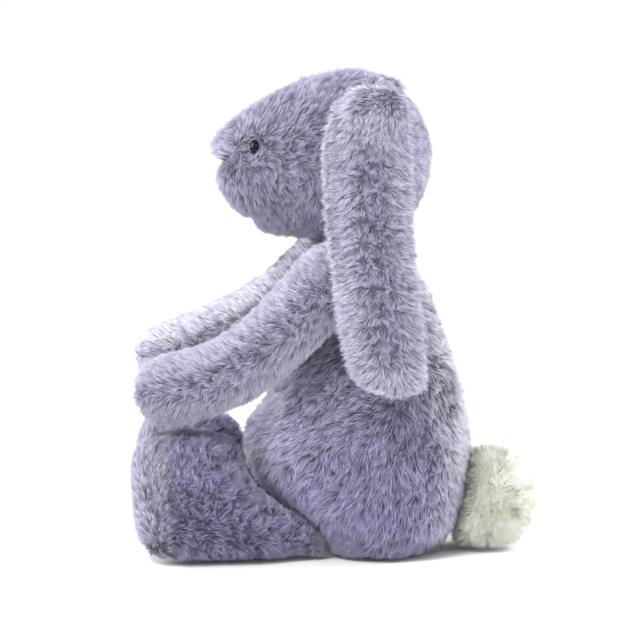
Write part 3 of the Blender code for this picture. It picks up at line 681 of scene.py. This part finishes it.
def make_head():
    """The head's skin and pile. Gives back the skin, for the face to lie on."""
    nodes = ["head_gusset", "head_panel_left", "head_panel_right", "head_stuffing"]
    skin = grow_skin("head_skin", nodes, voxel=3.2 * MM, inset=3.1 * MM)
    dress(skin, BACKING_IN_PAINTED_SHADE, nodes, "head")
    eye = middle_of("eye_left")
    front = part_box("head_panel_left")[0][1]
    lip = middle_of("nose_stitching")[2] - 1.5 * MM
    nose_low, nose_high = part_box("nose_stitching")

    def ahead(y, start, full):
        """0 further than start behind the head's front, 1 nearer than full, both in mm."""
        return ramp(-y, -front - start * MM, -front - full * MM)

    def mouth_height(y):
        """The mouth's crease rises as it runs back over the cheek."""
        return lip + (y - front) * 0.35

    def creased(points, normals):
        """Nose and jaw swell above and below the mouth's crease, and the eyes sit in sockets."""
        x, y, z = points.T
        line = mouth_height(y)
        nose = bump(z, line + 7.5 * MM, 5 * MM) * ahead(y, 12, 3) * (3.2 * MM)
        jaw = bump(z, line - 11 * MM, 9 * MM) * ahead(y, 16, 4) * 1.6 * MM
        throat = ramp(-z, -lip + 20 * MM, -lip + 30 * MM) * ramp(-y, -15 * MM, 10 * MM)
        swell = nose + jaw + throat * 1.8 * MM
        crease = bump(z, line, 2.2 * MM) * ahead(y, 15, 5) * 2.6 * MM
        chin = bump(z, lip - 24 * MM, 3 * MM) * bump(y, front + 15 * MM, 5 * MM) * 2.4 * MM
        nearest_eye = np.sign(x)[:, None] * eye * [1, 0, 0]
        away = np.linalg.norm(points - nearest_eye - eye * [0, 1, 1], axis=1)
        socket = bump(away, 0, 4 * MM) * 1.0 * MM - bump(away, 8 * MM, 3 * MM) * 1.2 * MM
        return normals * (swell - crease - chin - socket)[:, None]

    sculpt(skin, creased)

    def groom(roots, normals):
        """Down on the jaw, back over the cheek, up and back on the crown and forward on the
        nose. The strands just before an eye lean over its edge."""
        _, y, z = roots.T
        count = len(roots)
        crown = ramp(z, eye[2], eye[2] + 15 * MM)
        cheek = ramp(z, eye[2] - 22 * MM, eye[2] - 3 * MM)
        nose = ahead(y, 15, 4) * ramp(z, lip - 1 * MM, lip + 3 * MM)
        lean = mix(rows_of((0, 0.15, -0.95), count), rows_of((0, 0.90, -0.20), count), cheek)
        lean = mix(lean, rows_of((0, 0.65, 0.60), count), crown)
        lean = mix(lean, rows_of((0, -0.9, 0.25), count), nose)
        lean[:, 0] += normals[:, 0] * 0.15
        lean += waves(roots, 0.026, 21) * 0.35 + waves(roots, 0.006, 22) * 0.40
        lie = 0.68 - 0.20 * nose + 0.10 * waves(roots, 0.006, 23, 1)[:, 0]
        away = np.linalg.norm(np.abs(roots) * [1, 0, 0] + roots * [0, 1, 1] - eye, axis=1)
        before_eye = bump(away, 3 * MM, 4 * MM) * (y < eye[1] - 0.5 * MM)
        lean = mix(lean, rows_of((0, 1, 0.1), count), before_eye)
        longer = 1 + 0.35 * before_eye - 0.35 * bump(away, 0, 5.0 * MM) * (y > eye[1])
        # Painted light lightens the nose a little; painted shade darkens the crown.
        tone = mix(rows_of(LAVENDER, count), rows_of(LAVENDER_IN_PAINTED_LIGHT, count), 0.1 * nose - 0.3 * crown)
        # Painted shade along the mouth's crease.
        mouth = bump(z, mouth_height(y), 1.8 * MM) * ahead(y, 17, 7)
        tone = tone * (1 - 0.40 * mouth)[:, None]
        return lean, lie, longer, tone

    def off_nose(sign):
        """Only one half of the head, and none where the nose is stitched."""
        def where(points, normals):
            x, y, z = points.T
            high, wide = nose_high[2] - nose_low[2], nose_high[0] - nose_low[0]
            off = np.hypot(x / wide, (z - (nose_low[2] + nose_high[2]) / 2) / high) * 2
            bare = (off < 0.9) & (y < front + 15 * MM)
            return ((x * sign > 0) & ~bare).astype(float)
        return where

    for k, (side, sign) in enumerate(SIDES):
        grow_pile(f"head_pile_{side}", skin, "head", PILE, groom, HEAD_COAT,
                  200 + k, where=off_nose(sign))
    return skin


def make_ear(side, sign, seed):
    nodes = [f"ear_outer_{side}", f"ear_inner_{side}"]
    skin = grow_skin(f"ear_skin_{side}", nodes, voxel=2.2 * MM, inset=1.9 * MM, smoothing=4,
                     cap=0.5 * MM)
    dress(skin, BACKING_IN_PAINTED_SHADE, nodes, f"ear_{side}")
    places = coordinates(skin.data)
    line = middle_line(places, along=(0, 0, 1), value=(0, 1, 0))
    low, top = places[:, 2].min(), places[:, 2].max()

    def in_fold(z):
        """The height over which the front edge is rolled."""
        return ramp(z, low + 40 * MM, low + 60 * MM)

    def rolled(points, normals):
        """A trough down the outside, a step behind the front edge, and a soft top corner."""
        _, y, z = points.T
        middle, half = line(z)
        outside = ramp(normals[:, 0] * sign, 0.1, 0.6)
        trough = bump(y, middle + 2 * MM, 6 * MM) * outside * 1.8 * MM
        step = ramp(middle - half + 7 * MM - y, -2.0 * MM, 2.0 * MM)
        step *= outside * in_fold(z) * 2.4 * MM
        corner = ramp(z, top - 22 * MM, top) * ramp(middle - y, 0, half)
        tip = 1 - ramp(z, low, low + 9 * MM)
        moved = np.zeros_like(points)
        moved[:, 0] = -sign * (trough + step)
        moved[:, 1] = corner * 3.5 * MM
        moved[:, 2] = tip * 2.5 * MM - corner * 5 * MM
        return moved

    sculpt(skin, rolled, smoothing=3)

    def groom(roots, normals):
        """From the middle out to both edges, and down from the top. The core is tousled."""
        _, y, z = roots.T
        count = len(roots)
        middle, half = line(z)
        off = (y - middle - 2 * MM) / np.maximum(half, 1 * MM)
        outward = np.sign(off) * np.abs(off) ** 0.6
        lean = np.stack([0 * off, outward, -0.30 - 0.5 * (1 - np.abs(off))], axis=1)
        core = bump(off, 0, 0.50) * (1 - ramp(z, top - 34 * MM, top - 16 * MM))
        core *= ramp(z, low + 8 * MM, low + 22 * MM)
        lean += waves(roots, 0.007, 31) * (0.15 + 0.9 * core)[:, None]
        crown = ramp(z, top - 30 * MM, top - 12 * MM)
        lean = mix(lean, rows_of((0, -0.35, -1.0), count), crown * 0.9)
        lie = 0.80 - 0.32 * core - 0.42 * ramp(np.abs(normals[:, 1]), 0.5, 1.0)
        lie -= 0.18 * ramp(normals[:, 2], 0.4, 1.0)
        # Painted light: lighter towards both edges than in the tousled core.
        tone = mix(rows_of(LAVENDER_IN_PAINTED_LIGHT * 1.16, count), rows_of(LAVENDER * 1.06, count), core)
        # Painted shadow along the step behind the rolled front edge, on the outer face.
        painted_fold_shadow = bump(y, middle - half + 6 * MM, 1.6 * MM) * in_fold(z)
        tone = tone * (1 - 0.22 * painted_fold_shadow * (normals[:, 0] * sign > 0))[:, None]
        return lean, lie, one(count, 1), tone

    grow_pile(f"ear_pile_{side}", skin, f"ear_{side}", PILE, groom, EAR_COAT,
              seed)


def make_arm(side, sign, seed):
    nodes = [f"arm_outer_panel_{side}", f"arm_inner_panel_{side}", f"arm_stuffing_{side}"]
    skin = grow_skin(f"arm_skin_{side}", nodes, voxel=3.2 * MM, inset=2.3 * MM)
    dress(skin, BACKING_IN_PAINTED_SHADE, nodes, f"arm_{side}")
    places = coordinates(skin.data)
    line = middle_line(places, along=(0, 1, 0), value=(0, 0, 1))
    tip = places[:, 1].min()
    shoulder = middle_of(f"shoulder_seam_{side}")

    def furrowed(points, normals):
        """A furrow along the outside and a root that swells to meet the torso. The right arm
        reaches a little further forward, with a lower top."""
        _, y, z = points.T
        outside = ramp(np.abs(normals[:, 0]), 0.4, 0.9)
        moved = -normals * (bump(z, line(y)[0], 3 * MM) * outside * 1.5 * MM)[:, None]
        from_shoulder = np.hypot(y - shoulder[1], z - shoulder[2] + 2 * MM)
        inside = ramp(-normals[:, 0] * sign, -0.2, 0.5)
        moved[:, 0] -= sign * bump(from_shoulder, 0, 12 * MM) * inside * 2.8 * MM
        if sign < 0:
            moved[:, 1] -= (1 - ramp(y, tip, tip + 14 * MM)) * 2.2 * MM
            moved[:, 2] -= ramp(normals[:, 2], 0.0, 0.8) * 1.8 * MM
        return moved

    sculpt(skin, furrowed)

    def groom(roots, normals):
        """Towards the paw, and from the furrow out to the arm's top and bottom edge. Painted
        light makes the inner face lighter."""
        _, y, z = roots.T
        count = len(roots)
        middle, half = line(y)
        off = (z - middle) / np.maximum(half, 1 * MM)
        outward = np.sign(off) * np.abs(off) ** 0.7
        lean = np.stack([0 * off, -0.55 - 0.45 * outward, 0.85 * outward], axis=1)
        core = bump(off, 0, 0.28)
        lean += waves(roots, 0.008, 41) * (0.20 + 0.5 * core)[:, None]
        lie = 0.76 - 0.22 * core
        # The edges take the painted-light copy, scaled down to nearly the furrow's tone.
        tone = mix(rows_of(LAVENDER_IN_PAINTED_LIGHT * 0.88, count), rows_of(LAVENDER * 1.02, count), core)
        # Painted light on the inner face.
        inner_painted_light = ramp(-normals[:, 0] * sign, -0.1, 0.5)
        tone = tone * (1 + 0.62 * inner_painted_light)[:, None]
        return lean, lie, one(count, 1), tone

    grow_pile(f"arm_pile_{side}", skin, f"arm_{side}", PILE, groom, ARM_COAT,
              seed)


def make_leg(side, sign, seed):
    nodes = [f"leg_outer_panel_{side}", f"leg_inner_panel_{side}", f"foot_sole_{side}",
             f"leg_stuffing_{side}", f"foot_pellet_pouch_{side}"]
    skin = grow_skin(f"leg_skin_{side}", nodes, voxel=3.2 * MM, inset=2.4 * MM)
    dress(skin, BACKING_IN_PAINTED_SHADE, nodes, f"leg_{side}")
    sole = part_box(f"foot_sole_{side}")[1][1]
    _, hip, top = coordinates(skin.data).max(axis=0)

    def plumped(points, normals):
        """A round toe, a full thigh, a groove at the sole's seam, a hip against the torso."""
        _, y, z = points.T
        toe = (1 - ramp(y, sole, sole + 8 * MM)) * ramp(z, top - 32 * MM, top - 6 * MM)
        thigh = ramp(z, top - 26 * MM, top - 8 * MM)
        thigh *= ramp(y, sole + 18 * MM, sole + 30 * MM)
        thigh *= ramp(-normals[:, 0] * sign, -0.3, 0.4)
        groove = bump(y, sole + 7 * MM, 2.2 * MM) * ramp(normals[:, 0] * sign, 0.2, 0.8)
        moved = -normals * (groove * 1.5 * MM)[:, None]
        moved[:, 1] += thigh * 4.5 * MM - toe * 2.2 * MM
        moved[:, 1] += ramp(y, hip - 10 * MM, hip) * 3 * MM
        moved[:, 2] += thigh * 4 * MM
        return moved

    sculpt(skin, plumped)

    def groom(roots, normals):
        """Up and back, tousled on the leg and smoother on the sole, which painted light makes
        lighter.
        """
        _, y, z = roots.T
        count = len(roots)
        foot = 1 - ramp(y, sole + 4 * MM, sole + 8 * MM)
        lean = mix(rows_of((0, 0.35, 0.6), count), rows_of((0, 0.35, 0.8), count), foot)
        lean += waves(roots, 0.012, 51) * (0.6 - 0.4 * foot)[:, None]
        lean += waves(roots, 0.006, 52) * (0.7 - 0.5 * foot)[:, None]
        lie = 0.50 + 0.25 * foot
        # Painted shade makes the leg darker and more violet; painted light makes the sole lighter.
        tone = mix(rows_of(LAVENDER_IN_PAINTED_SHADE, count), rows_of(LAVENDER_IN_PAINTED_LIGHT * 0.80, count), foot)
        # Painted light: lighter low down, near the floor, less higher up.
        tone = tone * (1.32 - 0.34 * ramp(z, 5 * MM, 28 * MM))[:, None]
        # Painted shade in the groove at the sole's seam, on the outer face.
        edge = bump(y, sole + 7 * MM, 2.0 * MM) * (normals[:, 0] * sign > 0)
        tone = tone * (1 - 0.25 * edge)[:, None]
        return lean, lie, one(count, 1), tone

    grow_pile(f"leg_pile_{side}", skin, f"leg_{side}", PILE, groom, LEG_COAT,
              seed)


def make_tail():
    nodes = ["tail_pom", "tail_stuffing"]
    skin = grow_skin("tail_skin", nodes, voxel=3.0 * MM, inset=3.0 * MM)
    dress(skin, CREAM_BACKING, nodes, "tail")
    centre = coordinates(skin.data).mean(axis=0)

    def settled(points, normals):
        """The side by the torso leans against it, most of all at the bottom."""
        z = points[:, 2]
        moved = np.zeros_like(points)
        near = ramp(-normals[:, 1], 0.0, 0.8)
        moved[:, 1] = -near * (2.0 + 5.0 * ramp(centre[2] - z, -4 * MM, 16 * MM)) * MM
        moved[:, 2] = ramp(centre[2] - z, 6 * MM, 16 * MM) * near * -1.5 * MM
        return moved

    sculpt(skin, settled)

    def groom(roots, normals):
        """Every way, and a little down."""
        count = len(roots)
        lean = waves(roots, 0.007, 61) + rows_of((0, 0, -0.4), count)
        lie = 0.36 + 0.12 * waves(roots, 0.009, 63, 1)[:, 0]
        tone = rows_of(CREAM, count) * (1 + 0.06 * waves(roots, 0.008, 64, 1))
        return lean, lie, one(count, 1), tone

    grow_pile("tail_pile", skin, "tail", CREAM_PILE, groom, TAIL_COAT, 600)


def make_seams():
    """The gathered cloth where a limb is sewn on, with short pile that hides the join."""

    def groom(roots, normals):
        count = len(roots)
        lean = waves(roots, 0.006, 71)
        return lean, one(count, 0.3), one(count, 1), rows_of(LAVENDER * 0.85, count)

    for k, (side, _) in enumerate(SIDES):
        for joint, seed in (("shoulder", 700), ("hip", 702)):
            node, body = f"{joint}_seam_{side}", f"{joint}_{side}"
            skin = joined(f"{joint}_gather_{side}", [node])
            remeshed(skin, 0.5 * MM)
            smoothed(skin, 2)
            skin.data.materials.clear()
            skin.data.materials.append(LAVENDER_THREAD)
            skin.data.shade_smooth()
            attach(skin, body)
            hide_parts(node)
            grow_pile(f"{joint}_gather_pile_{side}", skin, body, PILE, groom,
                      GATHER_COAT, seed + k)


# ---------------------------------------------------------------- face

NOSE_THREADS = 7                       # laid threads each side of the nose's middle one
NOSE_POINTS = 6                        # points along each of them
NOSE_TOP, NOSE_BOTTOM = 0.10, 0.72     # how much the outermost stops short, over the height
NOSE_OVERLAP = 0.62                    # a thread's radius over the distance between threads
MOUTH_POINTS = 25
MOUTH_RADIUS = 0.45 * MM
THREAD_SIDES = 8
THREAD_END = 0.45                      # how far a thread's ends are drawn in
BEAD_SHARE = 0.98                      # the bead's radius over the CAD bead's
BEAD_DOME = 0.50                       # its dome's height over its radius
BEAD_RIM = ((0.97, 0.16), (0.80, 0.26), (0.0, 0.26))    # reach and drop over its radius
BEAD_FACING = (0.46, -0.88, 0.12)      # the left bead's; the right one's is its mirror image
BEAD_PROUD = 0.15                      # how far its rim stands out, over its radius
BEAD_RINGS, BEAD_SEGMENTS = 10, 40


def thread_run(body, points, radius):
    """Adds a closed round thread along points to the bmesh body, drawn in at both ends."""
    points = np.asarray(points, float)
    along = unit(np.gradient(points, axis=0))
    side = unit(np.cross(along, (1.0, 0.3, 0.2)))
    other = np.cross(along, side)
    turns = [2 * math.pi * n / THREAD_SIDES for n in range(THREAD_SIDES)]
    rings = []
    for k, point in enumerate(points):
        wide = radius * (THREAD_END if k in (0, len(points) - 1) else 1.0)
        rings.append([body.verts.new(point + (side[k] * math.cos(a) + other[k] * math.sin(a))
                                     * wide) for a in turns])
    for first, second in zip(rings, rings[1:]):
        for n in range(THREAD_SIDES):
            m = (n + 1) % THREAD_SIDES
            body.faces.new((first[n], first[m], second[m], second[n]))
    body.faces.new(rings[0][::-1])
    body.faces.new(rings[-1])


def detail(body, name, look, node, slot):
    """A finished bmesh as a piece of the head that stands for a CAD node."""
    mesh = bpy.data.meshes.new(name)
    body.to_mesh(mesh)
    body.free()
    mesh.shade_smooth()
    piece = link(name, mesh)
    piece.data.materials.append(look)
    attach(piece, "head")
    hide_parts(node)


def stitched(name, runs, radius, look, node, slot):
    """Laid threads as one piece."""
    body = bmesh.new()
    for run in runs:
        thread_run(body, run, radius)
    bmesh.ops.recalc_face_normals(body, faces=body.faces)
    detail(body, name, look, node, slot)


def make_bead(side, sign):
    """A polished bead with a low dome and a rolled rim, turned round its own axis."""
    low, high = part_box(f"eye_{side}")
    radius = (high[2] - low[2]) / 2 * BEAD_SHARE
    angles = np.linspace(math.pi / 2, 0, BEAD_RINGS)
    profile = [(radius * math.cos(a), radius * BEAD_DOME * math.sin(a)) for a in angles]
    profile += [(radius * share, -radius * drop) for share, drop in BEAD_RIM]
    facing = Vector((sign * BEAD_FACING[0], BEAD_FACING[1], BEAD_FACING[2]))
    turn = facing.to_track_quat("Z", "Y")
    place = Vector(middle_of(f"eye_{side}")) + facing.normalized() * radius * BEAD_PROUD
    body = bmesh.new()
    verts = [body.verts.new((reach, 0, height)) for reach, height in profile]
    edges = [body.edges.new(pair) for pair in zip(verts, verts[1:])]
    bmesh.ops.spin(body, geom=verts + edges, cent=(0, 0, 0), axis=(0, 0, 1),
                   angle=2 * math.pi, steps=BEAD_SEGMENTS, use_merge=True)
    bmesh.ops.remove_doubles(body, verts=body.verts, dist=WELD)
    bmesh.ops.recalc_face_normals(body, faces=body.faces)
    for vert in body.verts:
        vert.co = turn @ vert.co + place
    detail(body, f"bead_{side}", BEAD, f"eye_{side}", "black_bead")


def make_face(skin):
    """Bead eyes, and a satin-stitched nose and mouth line that lie on the muzzle's cloth."""
    for side, sign in SIDES:
        make_bead(side, sign)
        NODES[f"eye_washer_{side}"].data.materials.clear()
        NODES[f"eye_washer_{side}"].data.materials.append(WASHER)
    tree = BVHTree.FromObject(skin, bpy.context.evaluated_depsgraph_get())

    def on_muzzle(x, z, proud):
        """The muzzle's front at x and z, proud of the cloth."""
        hit, normal, _, _ = tree.ray_cast(Vector((x, -1, z)), Vector((0, 1, 0)))
        return np.array(hit) + np.array(normal) * proud

    low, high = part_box("nose_stitching")
    half, tall = (high[0] - low[0]) / 2, high[2] - low[2]
    crown = np.sin(np.linspace(0, math.pi, NOSE_POINTS)) * 0.5 * MM + 0.5 * MM
    runs = []
    for share in np.linspace(-1, 1, 2 * NOSE_THREADS + 1):
        top = high[2] - abs(share) * tall * NOSE_TOP
        bottom = low[2] + abs(share) * tall * NOSE_BOTTOM
        places = np.linspace(top, bottom, NOSE_POINTS)
        runs.append([on_muzzle(share * half, z, lift) for z, lift in zip(places, crown)])
    stitched("nose_floss", runs, half / NOSE_THREADS * NOSE_OVERLAP, PINK_FLOSS,
             "nose_stitching", "pink_floss")
    low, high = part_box("mouth_stitch")
    line = [on_muzzle(x * high[0], low[2] + (high[2] - low[2]) * abs(x) ** 1.5, 0.3 * MM)
            for x in np.linspace(-1, 1, MOUTH_POINTS)]
    stitched("mouth_thread", [line], MOUTH_RADIUS, LAVENDER_THREAD, "mouth_stitch",
             "lavender_thread")


# ---------------------------------------------------------------- studio

AIM = (0, 0, 0.1)                      # what the lamps point at
FLOOR_REACH, FLOOR_DROP = 6.0, 0.3 * MM
ELEVATION = math.radians(8)            # the camera's height over the rabbit's side
DISTANCE = 2.0
PICTURE_WIDTH = 0.2944                 # the width of the picture at the rabbit
LOOKED_AT = Vector((0, -0.0064, 0.1062))


def make_floor():
    made, tree, shader = material("studio_floor")
    soft = noise_node(tree, 6.0).outputs["Fac"]
    tree.links.new(ramp_colours(tree, soft, (0.95, 0.95, 0.95), (0.97, 0.97, 0.97)),
                   shader.inputs["Base Color"])
    shader.inputs["Roughness"].default_value = 0.9
    mesh = bpy.data.meshes.new("studio_floor")
    corners = [(x * FLOOR_REACH, y * FLOOR_REACH, -FLOOR_DROP)
               for x, y in ((-1, -1), (1, -1), (1, 1), (-1, 1))]
    mesh.from_pydata(corners, [], [(0, 1, 2, 3)])
    mesh.materials.append(made)
    link("studio_floor", mesh)


def area_light(name, place, size, power):
    lamp = bpy.data.lights.new(name, "AREA")
    lamp.shape = "DISK"
    lamp.size = size
    lamp.energy = power
    thing = bpy.data.objects.new(name, lamp)
    thing.location = place
    thing.rotation_euler = (Vector(AIM) - Vector(place)).to_track_quat("-Z", "Y").to_euler()
    bpy.context.scene.collection.objects.link(thing)


def make_studio():
    make_floor()
    world = bpy.data.worlds.new("studio")
    bpy.context.scene.world = world
    world.use_nodes = True
    background = world.node_tree.nodes["Background"]
    background.inputs["Color"].default_value = (1, 1, 1, 1)
    background.inputs["Strength"].default_value = 1.03
    area_light("key", (0.9, -0.5, 1.1), size=0.45, power=15.0)
    area_light("back_rim", (-0.35, 1.2, 0.7), size=0.7, power=15.0)
    area_light("front_rim", (-0.45, -1.15, 0.55), size=0.7, power=11.0)
    bpy.context.scene.view_settings.view_transform = "Standard"


def make_camera():
    """A long lens at the rabbit's left side, a little above its middle."""
    lens = bpy.data.cameras.new("camera")
    lens.sensor_width = 36
    lens.lens = lens.sensor_width * DISTANCE / PICTURE_WIDTH
    lens.clip_end = 20
    camera = bpy.data.objects.new("camera", lens)
    away = Vector((math.cos(ELEVATION), 0, math.sin(ELEVATION)))
    camera.location = LOOKED_AT + away * DISTANCE
    camera.rotation_euler = (-away).to_track_quat("-Z", "Y").to_euler()
    bpy.context.scene.collection.objects.link(camera)
    bpy.context.scene.camera = camera


def main():
    make_camera()
    make_studio()
    make_torso()
    make_neck()
    make_face(make_head())
    for make_limb, seed in ((make_ear, 300), (make_arm, 400), (make_leg, 500)):
        for k, (side, sign) in enumerate(SIDES):
            make_limb(side, sign, seed + k)
    make_tail()
    make_seams()


main()
